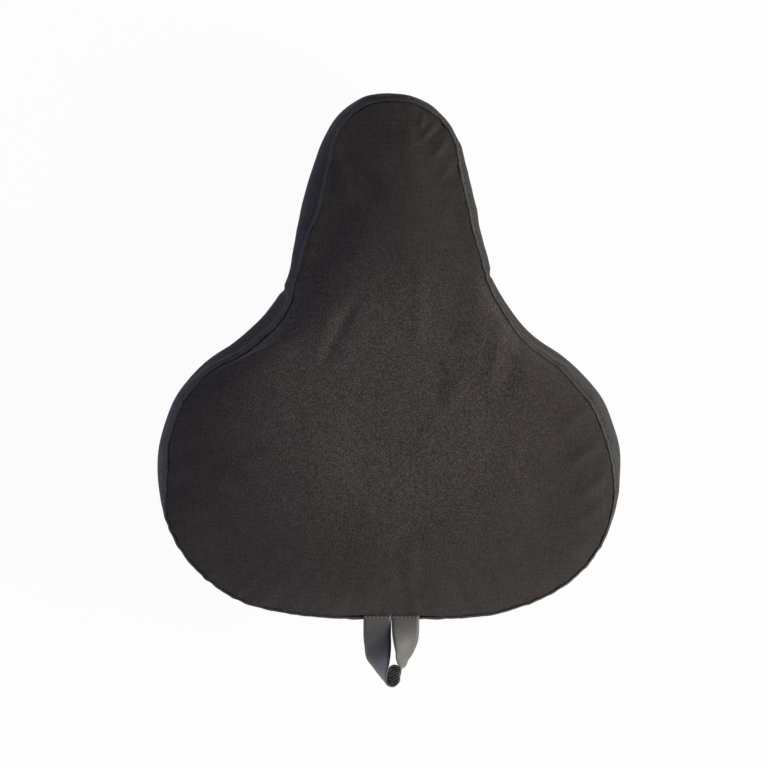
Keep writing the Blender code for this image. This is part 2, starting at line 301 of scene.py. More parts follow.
def half_outline():
    """Right half of the outline from the rear centre to the nose tip.

    A straight rear, two wing arcs, a hollow waist arc and the nose arc, each tangent to
    the next. The waist's centre is one radius sum away from the wing's front centre.
    """
    nose_centre = np.array([0.0, COVER_LENGTH - NOSE_RADIUS])
    rear_centre = np.array([REAR_FLAT_HALF, WING_REAR_RADIUS])
    front_centre = rear_centre + [WING_REAR_RADIUS - WING_FRONT_RADIUS, 0]
    flank_heading = unit(FLANK_TAPER - math.pi / 2)
    reach = nose_centre + (NOSE_RADIUS + WAIST_RADIUS) * unit(FLANK_TAPER) - front_centre
    along = reach @ flank_heading
    span = WAIST_RADIUS + WING_FRONT_RADIUS
    flank = -along - math.sqrt(along**2 - reach @ reach + span**2)
    waist_centre = front_centre + reach + flank * flank_heading
    toward = waist_centre - front_centre
    wing_end = math.atan2(toward[1], toward[0])
    rear = np.linspace([0.0, 0.0], [REAR_FLAT_HALF, 0.0], ARC_SAMPLES)
    pieces = [
        (rear, np.tile([0.0, -1.0], (ARC_SAMPLES, 1))),
        arc(rear_centre, WING_REAR_RADIUS, -math.pi / 2, 0, 1),
        arc(front_centre, WING_FRONT_RADIUS, 0, wing_end, 1),
        arc(waist_centre, WAIST_RADIUS, wing_end, FLANK_TAPER, -1),
        arc(nose_centre, NOSE_RADIUS, FLANK_TAPER, math.pi / 2, 1),
    ]
    points = np.concatenate([p for p, _ in pieces])
    normals = np.concatenate([n for _, n in pieces])
    return points, normals, travelled(points[None])[0]


def travelled(curves):
    """Distance from each curve's start to each of its points, for curves (N, S, 2 or 3)."""
    steps = np.linalg.norm(np.diff(curves, axis=1), axis=2)
    return np.concatenate([np.zeros((len(curves), 1)), np.cumsum(steps, axis=1)], axis=1)


def at(curves, distances):
    """Points on each of N curves at distances (N, D) from its start."""
    far = travelled(curves)
    before = np.clip((far[:, None, :] <= distances[:, :, None]).sum(2) - 1, 0, far.shape[1] - 2)
    start = np.take_along_axis(far, before, 1)
    share = (distances - start) / (np.take_along_axis(far, before + 1, 1) - start)
    low = np.take_along_axis(curves, before[..., None], 1)
    high = np.take_along_axis(curves, before[..., None] + 1, 1)
    return low + share[..., None] * (high - low)


def bezier(p0, p1, p2, p3, samples=120):
    """Cubic Bezier curves from the four handles of each of N stations."""
    t = np.linspace(0, 1, samples)[None, :, None]
    p0, p1, p2, p3 = (p[:, None, :] for p in (p0, p1, p2, p3))
    return (1 - t) ** 3 * p0 + 3 * (1 - t) ** 2 * t * p1 + 3 * (1 - t) * t**2 * p2 + t**3 * p3


def lefts(curves):
    """Unit vectors to the left of each curve at each of its points, mitred at corners."""
    steps = np.diff(curves, axis=1)
    steps = steps / np.linalg.norm(steps, axis=2, keepdims=True)
    across = np.stack([-steps[..., 1], steps[..., 0]], axis=2)
    before = np.concatenate([across[:, :1], across], axis=1)
    after = np.concatenate([across, across[:, -1:]], axis=1)
    return (before + after) / (1 + np.sum(before * after, axis=2, keepdims=True))


def ripple(around, low, high, seed):
    """Sum of the waves that run low to high times round the cover, about -1 to 1."""
    turns = np.arange(low, high + 1)
    phases = np.random.default_rng(seed).uniform(0, 2 * math.pi, len(turns))
    waves = np.cos(2 * math.pi * turns[:, None] * around + phases[:, None])
    return waves.sum(0) / math.sqrt(2 * len(turns))


def softened(values, spread):
    """Values round the ring blurred by a bell of the given spread in stations."""
    steps = np.fft.fftfreq(len(values))
    return np.fft.ifft(np.fft.fft(values) * bell(math.pi * spread * steps)).real


class Ring:
    """Places evenly round the outline, from the rear centre by the right side."""

    def __init__(self, count):
        points, normals, far = half_outline()
        half = count // 2
        index = np.arange(count)
        steps = np.minimum(index, count - index)
        side = np.where(index <= half, 1.0, -1.0)
        mirror = np.column_stack([side, np.ones(count)])
        distance = far[-1] * steps / half
        self.point = np.column_stack([np.interp(distance, far, points[:, k]) for k in (0, 1)])
        self.normal = np.column_stack([np.interp(distance, far, normals[:, k]) for k in (0, 1)])
        self.normal /= np.linalg.norm(self.normal, axis=1, keepdims=True)
        self.point *= mirror
        self.normal *= mirror
        self.length = 2 * far[-1]
        self.around = index / count
        self.share = steps / half
        swell = self.measured(side, RIGHT_SWELL, LEFT_SWELL)
        free = smoothstep((self.share - SEAM_FREE) / SEAM_FREE_RAMP)
        self.inset = self.measured(side, RIGHT_INSET, LEFT_INSET) + swell * free
        lifted = smoothstep((self.share - LIFT_START) / LIFT_RAMP)
        lifted *= 1 - smoothstep((self.share - LIFT_END) / LIFT_RAMP)
        self.seam_height = seam_height(self.point[:, 1]) + SEAM_LIFT * lifted * (side > 0)
        # The waist is the fourth of the outline's five pieces
        waist_middle = (far[3 * ARC_SAMPLES] + far[4 * ARC_SAMPLES - 1]) / 2
        waist = bell((distance - waist_middle) / WAIST_SPREAD)
        tuck = SIDE_TUCK + (END_TUCK - SIDE_TUCK) * self.normal[:, 1] ** 2
        self.tuck = tuck + (WAIST_TUCK - tuck) * waist
        kink = np.where(side > 0, RIGHT_KINK, LEFT_KINK)
        begun = smoothstep((self.share - BRIDGE_START) / BRIDGE_RAMP)
        ended = 1 - smoothstep((self.share - OVERHANG_END) / OVERHANG_FADE)
        past_kink = smoothstep((self.share - kink) / KINK_RAMP + 0.5)
        roll_in = np.where(side > 0, RIGHT_ROLL_IN, LEFT_ROLL_IN)
        self.roll_in = softened(roll_in, MEASURE_BLUR) * begun * (1 - past_kink)
        self.overhang = past_kink * ended
        self.wander = swell + WANDER * ripple(index / count, 7, 34, 13)
        # Gathers wander in place, depth and height round the hem
        around = self.around
        phase = 2 * math.pi * GATHER_COUNT * around + 0.55 * ripple(around, 4, 14, 3)
        self.gather = np.cos(phase) * (1 + 0.30 * ripple(around, 5, 21, 4))
        fine = 2 * math.pi * (2 * GATHER_COUNT + 7) * around + 0.8 * ripple(around, 6, 20, 5)
        self.fine_gather = 0.30 * np.cos(fine) * (1 + 0.5 * ripple(around, 6, 24, 6))
        self.gather_top = BULGE_HEIGHT * (1 + 0.16 * ripple(around, 7, 30, 7))

    def measured(self, side, right, left):
        """Metres at each place, from a table in mm for each side."""
        right, left = (np.interp(self.share, *np.array(table).T) for table in (right, left))
        return softened(np.where(side > 0, right, left), MEASURE_BLUR) / 1000

    def place(self, offset, height):
        """World points at offsets outside the outline and heights, both (N, C).

        The gathers add their wave to the offset, growing smoothly from their top down to
        the casing. Bells across the height draw the roll in at the waist, push it out
        beyond the kink and tuck the lower band under it there.
        """
        top = self.gather_top[:, None]
        low = smoothstep((top - height) / (top - HEM_CASING))
        lowest = smoothstep((0.55 * top - height) / (0.55 * top - HEM_CASING))
        wave = self.gather[:, None] * low + self.fine_gather[:, None] * lowest
        drawn = self.roll_in[:, None] * bell((height - ROLL_IN_HEIGHT) / ROLL_IN_TALL)
        over = self.overhang[:, None] * bell((height - OVERHANG_HEIGHT) / OVERHANG_TALL)
        under = self.overhang[:, None] * bell((height - UNDER_HEIGHT) / UNDER_TALL)
        out = offset + GATHER_DEPTH * wave + self.wander[:, None]
        out += OVERHANG_OUT * over - drawn - UNDER_DEPTH * under
        flat = self.point[:, None, :] + self.normal[:, None, :] * out[..., None]
        return np.concatenate([flat, height[..., None]], axis=2) + [0, REAR_EDGE_Y, 0]


def seam_height(y):
    rise = NOSE_SEAM_HEIGHT - REAR_SEAM_HEIGHT
    return REAR_SEAM_HEIGHT + rise * smoothstep(y / COVER_LENGTH)


def panel_crown(y):
    return REAR_CROWN + (NOSE_CROWN - REAR_CROWN) * smoothstep(y / COVER_LENGTH)


def shoulder(ring):
    """Middle of the band from the seam to the bulge as (offset, height), and its distances.

    A Bezier curve that leaves the seam at the seam's slope and comes down upright.
    """
    seam = np.column_stack([-ring.inset, ring.seam_height])
    bulge = np.column_stack([np.full(len(seam), -CLOTH / 2), np.full(len(seam), BULGE_HEIGHT)])
    reach = np.minimum(SHOULDER_REACH, SHOULDER_FULLNESS * ring.inset)
    first = seam + reach[:, None] * unit(-SEAM_SLOPE)
    curve = bezier(seam, first, bulge + [0, BULGE_REACH], bulge)
    whole = travelled(curve)[:, -1:]
    near = np.tile(np.linspace(0, SEAM_ALLOWANCE, ALLOWANCE_ROWS), (len(seam), 1))
    rest = np.linspace(0, 1, SHOULDER_ROWS + 1)[None, 1:]
    distances = np.concatenate([near, SEAM_ALLOWANCE + (whole - SEAM_ALLOWANCE) * rest], axis=1)
    return at(curve, distances), distances


def allowance_depth():
    return CLOTH + FOLD_GAP


def ribbon_depth():
    return allowance_depth() + CLOTH / 2 + CLEARANCE + RIBBON_THICKNESS / 2


def panel_depth(x):
    room = 1 - smoothstep((abs(x) - RIBBON_WIDTH - RIBBON_ROOM) / RIBBON_RAMP)
    return allowance_depth() + CLOTH + CLEARANCE + (RIBBON_THICKNESS + CLEARANCE) * room


# Turning grids and lines into meshes


def grid_mesh(name, grid, uv, materials, ring=False, joins=None):
    """Quads through a grid of points (rows, columns, 3); a ring's last row meets its first.

    joins maps each grid point to the point that stands for it, where two are the same.
    uv has one more row than a ring's grid, so that the pattern doesn't run back.
    """
    rows, columns = grid.shape[:2]
    spans = rows if ring else rows - 1
    i, j = np.meshgrid(np.arange(spans), np.arange(columns - 1), indexing="ij")
    corners = np.stack([(i, j), (i + 1, j), (i + 1, j + 1), (i, j + 1)], axis=-1)
    corners = corners.reshape(2, -1, 4)
    index = (corners[0] % rows) * columns + corners[1]
    if joins is not None:
        index = joins.ravel()[index]
    used, faces = np.unique(index, return_inverse=True)
    mesh = bpy.data.meshes.new(name)
    mesh.from_pydata(grid.reshape(-1, 3)[used], [], faces.reshape(-1, 4).tolist())
    layer = mesh.uv_layers.new(name="cloth")
    layer.data.foreach_set("uv", uv[corners[0], corners[1]].astype(np.float32).ravel())
    for material in materials:
        mesh.materials.append(material)
    mesh.shade_smooth()
    piece = bpy.data.objects.new(name, mesh)
    bpy.context.scene.collection.objects.link(piece)
    return piece


def give_thickness(piece, thickness, back_slot=0):
    """Turns a middle surface into cloth of a thickness, with the back in another slot."""
    solid = piece.modifiers.new("cloth_thickness", "SOLIDIFY")
    solid.thickness = thickness
    solid.offset = 0
    solid.use_even_offset = True
    solid.material_offset = back_slot
    return piece


def finish_piece(piece, slot, *nodes):
    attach(piece, "root")
    if nodes:
        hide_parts(*nodes)
    return piece


def stitches(name, line, outward, pitch, length, thickness, material, closed=True):
    """A row of separate stitches along a line of points with outward directions.

    Each stitch is a capsule: five rings of six points round its axis, whose radius
    follows a rounded hump and whose middle rises a little above its two sunk ends.
    """
    if closed:
        line = np.concatenate([line, line[:1]])
        outward = np.concatenate([outward, outward[:1]])
    far = travelled(line[None])[0]
    count = int(far[-1] / pitch)
    centres = (np.arange(count) + 0.5) * far[-1] / count
    along = np.array([-0.5, -0.36, 0.0, 0.36, 0.5])
    radius = thickness / 2 * np.array([0.25, 0.85, 1.0, 0.85, 0.25])
    rise = thickness * np.array([-0.45, -0.05, 0.12, -0.05, -0.45])
    places = centres[:, None] + along * length
    middle = np.stack([np.interp(places, far, line[:, k]) for k in range(3)], axis=2)
    up = np.stack([np.interp(centres, far, outward[:, k]) for k in range(3)], axis=1)
    up /= np.linalg.norm(up, axis=1, keepdims=True)
    ahead = middle[:, -1] - middle[:, 0]
    aside = np.cross(ahead, up)
    aside /= np.linalg.norm(aside, axis=1, keepdims=True)
    turn = np.arange(6) * math.pi / 3
    spread = np.cos(turn)[:, None] * aside[:, None] + np.sin(turn)[:, None] * up[:, None]
    rings = middle + rise[:, None] * up[:, None]
    points = rings[:, :, None] + radius[:, None, None] * spread[:, None]
    count_points = points.shape[1] * 6
    k, m = np.meshgrid(np.arange(4), np.arange(6), indexing="ij")
    n = (m + 1) % 6
    sides = np.stack([k * 6 + m, k * 6 + 6 + m, k * 6 + 6 + n, k * 6 + n], axis=-1).reshape(-1, 4)
    ends = np.array([[0, 1, 2, 3], [0, 3, 4, 5], [27, 26, 25, 24], [29, 28, 27, 24]])
    one = np.concatenate([sides, ends])
    faces = (one[None] + np.arange(count)[:, None, None] * count_points).reshape(-1, 4)
    mesh = bpy.data.meshes.new(name)
    mesh.from_pydata(points.reshape(-1, 3), [], faces.tolist())
    mesh.materials.append(material)
    mesh.shade_smooth()
    piece = bpy.data.objects.new(name, mesh)
    bpy.context.scene.collection.objects.link(piece)
    return piece


# Materials


def colour(hex_code):
    """Linear colour of an sRGB hex code."""
    srgb = np.array([int(hex_code[i : i + 2], 16) for i in (1, 3, 5)]) / 255
    linear = np.where(srgb <= 0.04045, srgb / 12.92, ((srgb + 0.055) / 1.055) ** 2.4)
    return (*linear.tolist(), 1.0)


def add_node(tree, kind, inputs=None, **settings):
    """Adds a node with its settings, and links or sets its inputs.

    An input that is a node takes that node's first enabled output, one that is a socket is
    linked to it, and any other is a set value.
    """
    node = tree.nodes.new(kind)
    for key, value in settings.items():
        setattr(node, key, value)
    feed(tree, node, inputs or {})
    return node


def feed(tree, node, inputs):
    for key, value in inputs.items():
        if isinstance(value, bpy.types.Node):
            value = next(output for output in value.outputs if output.enabled)
        if isinstance(value, bpy.types.NodeSocket):
            tree.links.new(value, node.inputs[key])
        else:
            node.inputs[key].default_value = value


def new_material(name, roughness, specular, sheen, sheen_tint="#FFFFFF"):
    """A Principled material; numbers that don't vary sit on the shader's own sockets."""
    material = bpy.data.materials.new(name)
    material.use_nodes = True
    tree = material.node_tree
    shader = tree.nodes["Principled BSDF"]
    feed(
        tree,
        shader,
        {
            "Roughness": roughness,
            "Specular IOR Level": specular,
            "Sheen Weight": sheen,
            "Sheen Roughness": 0.45,
            "Sheen Tint": colour(sheen_tint),
        },
    )
    return material, tree, shader


def woven_canvas(name, dark, light, tone, painted_light_tone, grain, painted_light_grain, sheen, edge=0.0):
    """Plain-woven polyester canvas, matt finished.

    Its height is the product of two sines without its sign, one for each set of threads,
    and the sign tells warp from weft. Each crossing has a brightness of its own, and the
    threads have thick and thin places along them. Light is painted on the cover's raised
    middle: there the cloth is painted paler and its crossings stand out more, as painted
    glints. A band folded at the seam has a highlight painted along the fold.
    """
    material, tree, shader = new_material(name, 0.88, 0.10, sheen, "#E9E6E8")
    uv = add_node(tree, "ShaderNodeUVMap", uv_map="cloth")
    threads = add_node(
        tree, "ShaderNodeVectorMath", {0: uv, "Scale": 1 / THREAD_SPACING}, operation="SCALE"
    )
    crossing = add_node(tree, "ShaderNodeVectorMath", {0: threads}, operation="FLOOR")
    speck = add_node(tree, "ShaderNodeTexWhiteNoise", {"Vector": crossing}, noise_dimensions="3D")
    split = add_node(tree, "ShaderNodeSeparateXYZ", {0: threads})
    waves = []
    for axis in (0, 1):
        angle = add_node(
            tree, "ShaderNodeMath", {0: split.outputs[axis], 1: math.pi}, operation="MULTIPLY"
        )
        waves.append(add_node(tree, "ShaderNodeMath", {0: angle}, operation="SINE"))
    weave = add_node(tree, "ShaderNodeMath", {0: waves[0], 1: waves[1]}, operation="MULTIPLY")
    height = add_node(tree, "ShaderNodeMath", {0: weave}, operation="ABSOLUTE")
    # Thick and thin places: about 1 mm across the thread and 12 mm along it, both ways
    uneven = []
    for scale in ((900, 85, 1), (85, 900, 1)):
        stretched = add_node(tree, "ShaderNodeMapping", {"Vector": uv, "Scale": scale})
        uneven.append(add_node(tree, "ShaderNodeTexNoise", {"Vector": stretched, "Scale": 1.0}))
    slubs = add_node(tree, "ShaderNodeMath", {0: uneven[0], 1: uneven[1]}, operation="ADD")
    # Patches 30 to 50 mm across where the dye took a little more or less
    place = add_node(tree, "ShaderNodeTexCoord").outputs["Object"]
    dye = add_node(tree, "ShaderNodeTexNoise", {"Vector": place, "Scale": 26.0, "Detail": 2.0})
    # Light painted on the raised middle: 1 inside an ellipse, fading smoothly to 0 outside it
    centred = add_node(
        tree,
        "ShaderNodeVectorMath",
        {0: place, 1: (-PAINTED_LIGHT_CENTRE[0], -PAINTED_LIGHT_CENTRE[1], 0)},
        operation="ADD",
    )
    scaled = add_node(
        tree,
        "ShaderNodeVectorMath",
        {0: centred, 1: (1 / PAINTED_LIGHT_REACH[0], 1 / PAINTED_LIGHT_REACH[1], 0)},
        operation="MULTIPLY",
    )
    far = add_node(tree, "ShaderNodeVectorMath", {0: scaled}, operation="LENGTH")
    painted_light = add_node(
        tree,
        "ShaderNodeMapRange",
        {"Value": far, "From Min": 0.45, "From Max": 1.35, "To Min": 1.0, "To Max": 0.0},
        interpolation_type="SMOOTHSTEP",
    )
    # Where light is painted on the middle, the cloth's tone is paler and its crossings brighter
    depth = add_node(
        tree,
        "ShaderNodeMapRange",
        {"Value": painted_light, "To Min": grain, "To Max": painted_light_grain},
    )
    level = add_node(
        tree,
        "ShaderNodeMapRange",
        {"Value": painted_light, "To Min": tone, "To Max": painted_light_tone},
    )
    # Squared, so that few crossings are bright and many are dark; its mean is a third
    skewed = add_node(tree, "ShaderNodeMath", {0: speck, 1: 2.0}, operation="POWER")
    balanced = add_node(tree, "ShaderNodeMath", {0: skewed, 1: 1 / 3}, operation="SUBTRACT")
    shade = add_node(tree, "ShaderNodeMath", {0: balanced, 1: depth}, operation="MULTIPLY")
    # Each part's share in the shade, after its own mean is taken off
    for part, share, middle in ((weave, 0.05, 0.0), (slubs, 0.16, 1.0), (dye, 0.12, 0.5)):
        apart = add_node(tree, "ShaderNodeMath", {0: part, 1: middle}, operation="SUBTRACT")
        shade = add_node(
            tree, "ShaderNodeMath", {0: apart, 1: share, 2: shade}, operation="MULTIPLY_ADD"
        )
    shade = add_node(tree, "ShaderNodeMath", {0: shade, 1: level}, operation="ADD")
    # A highlight painted along the band's fold, fading out within its reach
    if edge:
        down = add_node(tree, "ShaderNodeSeparateXYZ", {0: uv})
        from_fold = add_node(
            tree, "ShaderNodeMath", {0: down.outputs[1], 1: FOLD_EDGE}, operation="SUBTRACT"
        )
        beside = add_node(tree, "ShaderNodeMath", {0: from_fold}, operation="ABSOLUTE")
        painted_fold_highlight = add_node(
            tree,
            "ShaderNodeMapRange",
            {"Value": beside, "From Max": FOLD_HIGHLIGHT_REACH, "To Min": edge, "To Max": 0.0},
            interpolation_type="SMOOTHSTEP",
        )
        shade = add_node(tree, "ShaderNodeMath", {0: shade, 1: painted_fold_highlight}, operation="ADD")
    cloth = add_node(
        tree,
        "ShaderNodeMix",
        {0: shade, 6: colour(dark), 7: colour(light)},
        data_type="RGBA",
        clamp_factor=True,
    )
    # Specks of 0 to 1 shift each crossing's height as well, so the canvas looks uneven
    rough = add_node(
        tree, "ShaderNodeMath", {0: speck, 1: 0.5, 2: height}, operation="MULTIPLY_ADD"
    )
    bump = add_node(tree, "ShaderNodeBump", {"Height": rough, "Strength": 0.5, "Distance": 0.00012})
    feed(tree, shader, {"Base Color": cloth, "Normal": bump})
    return material


# Close canvas of fine polyester yarn has about 24 threads a centimetre, drawn at that size
THREAD_SPACING = 0.00042
# Centre and reach, in metres, of the light painted on the cover's middle
PAINTED_LIGHT_CENTRE = (0.003, -0.008)
PAINTED_LIGHT_REACH = (0.083, 0.080)
# Where the band's painted highlight is brightest, just below its folded edge, down its profile;
# and how far
FOLD_EDGE = 0.0092
FOLD_HIGHLIGHT_REACH = 0.0015

# Black polyester canvas: matt charcoal, a little warm, greyer where light is painted on its middle
PANEL_CLOTH = woven_canvas(
    "black_polyester_canvas", "#1D1B1C", "#5C5857", 0.26, 0.48, 0.20, 0.80, 0.12
)
# The band is the same canvas, whose fuzz catches light where it turns over the side,
# with a highlight painted along its fold
BAND_CLOTH = woven_canvas(
    "black_canvas_band", "#1C1C1D", "#5A5B5D", 0.25, 0.25, 0.20, 0.30, 0.08, edge=0.22
)


def braided_elastic():
    """Braided elastic tape: ribs of covered rubber along it, crossed by fine yarn."""
    material, tree, shader = new_material("braided_elastic_tape", 0.8, 0.3, 0.1)
    uv = add_node(tree, "ShaderNodeUVMap", uv_map="cloth")
    split = add_node(tree, "ShaderNodeSeparateXYZ", {0: uv})
    waves = []
    # Ribs 1.2 mm apart and yarn 1 mm apart, one wave each
    for output, pitch in ((1, 0.0012), (0, 0.0010)):
        angle = add_node(
            tree,
            "ShaderNodeMath",
            {0: split.outputs[output], 1: 2 * math.pi / pitch},
            operation="MULTIPLY",
        )
        waves.append(add_node(tree, "ShaderNodeMath", {0: angle}, operation="SINE"))
    height = add_node(
        tree, "ShaderNodeMath", {0: waves[1], 1: 0.4, 2: waves[0]}, operation="MULTIPLY_ADD"
    )
    shade = add_node(
        tree, "ShaderNodeMath", {0: height, 1: 0.25, 2: 0.5}, operation="MULTIPLY_ADD"
    )
    yarn = add_node(
        tree,
        "ShaderNodeMix",
        {0: shade, 6: colour("#131314"), 7: colour("#28282A")},
        data_type="RGBA",
        clamp_factor=True,
    )
    bump = add_node(tree, "ShaderNodeBump", {"Height": height, "Strength": 0.5, "Distance": 0.0003})
    feed(tree, shader, {"Base Color": yarn, "Normal": bump})
    return material


def twill_tape(name, dark, light, rib, rib_depth, lean, roughness, sheen):
    """Woven twill tape: ribs that lean by an angle from straight across, and a fine fluff.

    The ribs are a sine of the distance square to them. Noise 1 mm across is the fluff, and
    noise 10 mm across makes the tape a little cloudy.
    """
    material, tree, shader = new_material(name, roughness, 0.3, sheen)
    uv = add_node(tree, "ShaderNodeUVMap", uv_map="cloth")
    split = add_node(tree, "ShaderNodeSeparateXYZ", {0: uv})
    pace = 2 * math.pi / rib
    turned = add_node(
        tree,
        "ShaderNodeMath",
        {0: split.outputs[0], 1: pace * math.sin(lean)},
        operation="MULTIPLY",
    )
    angle = add_node(
        tree,
        "ShaderNodeMath",
        {0: split.outputs[1], 1: pace * math.cos(lean), 2: turned},
        operation="MULTIPLY_ADD",
    )
    ribs = add_node(tree, "ShaderNodeMath", {0: angle}, operation="SINE")
    fluff = add_node(tree, "ShaderNodeTexNoise", {"Vector": uv, "Scale": 800.0, "Detail": 2.0})
    clouds = add_node(tree, "ShaderNodeTexNoise", {"Vector": uv, "Scale": 90.0})
    shade = add_node(
        tree, "ShaderNodeMath", {0: ribs, 1: rib_depth, 2: 0.0}, operation="MULTIPLY_ADD"
    )
    for part, share in ((fluff, 0.6), (clouds, 0.4)):
        shade = add_node(
            tree, "ShaderNodeMath", {0: part, 1: share, 2: shade}, operation="MULTIPLY_ADD"
        )
    tape = add_node(
        tree,
        "ShaderNodeMix",
        {0: shade, 6: colour(dark), 7: colour(light)},
        data_type="RGBA",
        clamp_factor=True,
    )
    height = add_node(
        tree, "ShaderNodeMath", {0: ribs, 1: 2 * rib_depth, 2: fluff}, operation="MULTIPLY_ADD"
    )
    bump = add_node(tree, "ShaderNodeBump", {"Height": height, "Strength": 0.4, "Distance": 0.0002})
    feed(tree, shader, {"Base Color": tape, "Normal": bump})
    return material


def spun_thread(name, dark, light):
    """Spun polyester sewing thread, a little shinier than the cloth.

    Its twist is noise 0.7 mm across, coarser than the real 0.3 mm so that it shows.
    """
    material, tree, shader = new_material(name, 0.6, 0.3, 0.1)
    place = add_node(tree, "ShaderNodeTexCoord").outputs["Object"]
    twist = add_node(tree, "ShaderNodeTexNoise", {"Vector": place, "Scale": 1500.0})
    thread = add_node(
        tree,
        "ShaderNodeMix",
        {0: twist, 6: colour(dark), 7: colour(light)},
        data_type="RGBA",
    )
    feed(tree, shader, {"Base Color": thread})
    return material


# The side band


def band_profile(ring):
    """Middle of the band as (offset, height): allowance, fold, shoulder, gathers and hem."""
    top, distances = shoulder(ring)
    across = lefts(top)
    depth = allowance_depth()
    allowance = (top - depth * across)[:, :ALLOWANCE_ROWS][:, ::-1]
    # The folded edge is a half circle from the allowance up to the top layer
    turn = np.linspace(0, math.pi, FOLD_ROWS + 2)[None, 1:-1, None]
    left, heading = across[:, :1], np.stack([across[:, 0, 1], -across[:, 0, 0]], axis=1)[:, None]
    middle = top[:, :1] - depth / 2 * left
    fold = middle - depth / 2 * (np.cos(turn) * left + np.sin(turn) * heading)
    pucker = ripple(ring.around, 60, 150, 11)[:, None] * hump(distances, *BAND_PUCKER)
    slack = ripple(ring.around, 22, 70, 15)[:, None] * hump(distances, *BAND_SLACK)
    pressed = hump(distances, *GROOVE) + hump(distances, *LIP)
    top = top + (pressed + pucker + slack)[..., None] * across
    hem = -ring.tuck[:, None]
    ones = np.ones_like(hem)
    casing_top = np.concatenate([hem, HEM_CASING * ones], axis=1)
    end = top[:, -1]
    lower = bezier(end, end - [0, TUCK_REACH], casing_top + [0, TUCK_REACH], casing_top)
    rest = np.linspace(0, 1, LOWER_ROWS)[None, 1:]
    lower = at(lower, travelled(lower)[:, -1:] * rest)
    radius = (CLOTH + 2 * CLEARANCE + ELASTIC_THICKNESS) / 2
    down = np.linspace(HEM_CASING, CLOTH / 2 + radius, CASING_ROWS)[None, 1:-1]
    casing = np.stack([hem + 0 * down, down + 0 * hem], axis=2)
    swing = np.linspace(0, math.pi, TURN_ROWS)[None]
    turned_out = hem - radius + radius * np.cos(swing)
    turned_up = CLOTH / 2 + radius - radius * np.sin(swing) + 0 * hem
    turned = np.stack([turned_out, turned_up], axis=2)
    channel = hem - 2 * radius
    elastic_top = CLOTH + CLEARANCE + ELASTIC_WIDTH
    inner = np.stack(
        [
            np.concatenate([channel, channel, hem - CLOTH - CLEARANCE], axis=1),
            np.concatenate([CHANNEL_MIDDLE * ones, elastic_top * ones, HEM_CASING * ones], axis=1),
        ],
        axis=2,
    )
    return np.concatenate([allowance, fold, top, lower, casing, turned, inner], axis=1)


def profile_uv(ring, profile):
    """UV in metres: travel round the outline, and mean distance down the profile."""
    down = travelled(profile).mean(0)
    around = np.linspace(0, ring.length, STATIONS + 1)
    return np.stack(np.meshgrid(around, down, indexing="ij"), axis=2)


def make_band(ring):
    profile = band_profile(ring)
    grid = ring.place(profile[..., 0], profile[..., 1])
    piece = grid_mesh("band_cloth", grid, profile_uv(ring, profile), [BAND_CLOTH], ring=True)
    return give_thickness(piece, CLOTH), grid


def surface_normals(grid):
    """Outward unit normals of a ring's grid, from its two directions."""
    round_step = np.roll(grid, -1, axis=0) - np.roll(grid, 1, axis=0)
    down_step = np.gradient(grid, axis=1)
    across = np.cross(down_step, round_step)
    return across / np.linalg.norm(across, axis=2, keepdims=True)


# The top panel


def stroke(x, y, start_x, start_y, end_x, end_y, width, rise):
    """A fold: a bell across a straight line, fading in and out along it; inputs in mm."""
    run = np.array([end_x - start_x, end_y - start_y]) / 1000
    length = np.linalg.norm(run)
    run = run / length
    dx, dy = x - start_x / 1000, y - start_y / 1000
    along = (dx * run[0] + dy * run[1]) / length
    aside = dx * run[1] - dy * run[0]
    fade = smoothstep((along + 0.25) / 0.45) * smoothstep((1.25 - along) / 0.45)
    return rise / 1000 * bell(aside * 1000 / width) * fade


def slow_waves(x, y, shortest, longest, count, seed):
    """Sum of straight waves in seeded directions, with lengths between two values."""
    rng = np.random.default_rng(seed)
    heading, phase = rng.uniform(0, 2 * math.pi, (2, count))
    pace = 2 * math.pi / rng.uniform(shortest, longest, count)
    total = np.zeros_like(x)
    for h, p, k in zip(heading, phase, pace):
        total += np.cos(k * (x * math.cos(h) + y * math.sin(h)) + p)
    return total / math.sqrt(2 * count)


def ridge_x(y):
    """Sideways place of the ridge at world y: its table's line, blurred to a smooth curve."""
    far, x = np.array(RIDGE_LINE).T / 1000
    fine = np.linspace(far[0], far[-1], 200)
    blur = bell(np.linspace(-2, 2, 41))
    line = np.pad(np.interp(fine, far, x), 20, mode="edge")
    return np.interp(y, fine, np.convolve(line, blur / blur.sum(), mode="valid"))


def spine_share(share):
    """Share along the spine for a share round the outline, slowing to a stop at both ends.

    Its pace is a smoothstep up at the start and down at the end, summed up.
    """
    t = np.linspace(0, 1, 400)
    pace = smoothstep(t / SPINE_EASE) * smoothstep((1 - t) / SPINE_EASE)
    whole = np.cumsum(pace)
    return np.interp(share, t, whole / whole[-1])


def panel_relief(x, y, inward, share, around):
    """Height added to the plain crown, as a sum.

    Slow waves, the folds, and the seam's puckers, which die away inwards.
    """
    relief = SLOW_WAVE * slow_waves(x, y, 0.035, 0.090, 9, 21)
    relief += SHORT_WAVE * slow_waves(x, y, 0.012, 0.025, 14, 22)
    for fold in FOLDS:
        relief += stroke(x, y, *fold)
    relief *= smoothstep(inward / 0.008)
    fine, coarse = ripple(around, 60, 150, 11)[:, None], ripple(around, 24, 70, 12)[:, None]
    puckers = PANEL_PUCKER * fine * np.exp(-inward / PUCKER_REACH)
    pulls = PANEL_PULL * coarse * np.exp(-inward / PULL_REACH)
    calm = 1 - smoothstep((share - 0.5) / 0.4)
    return relief + (puckers + pulls) * smoothstep(inward / SEAM_RISE) * calm


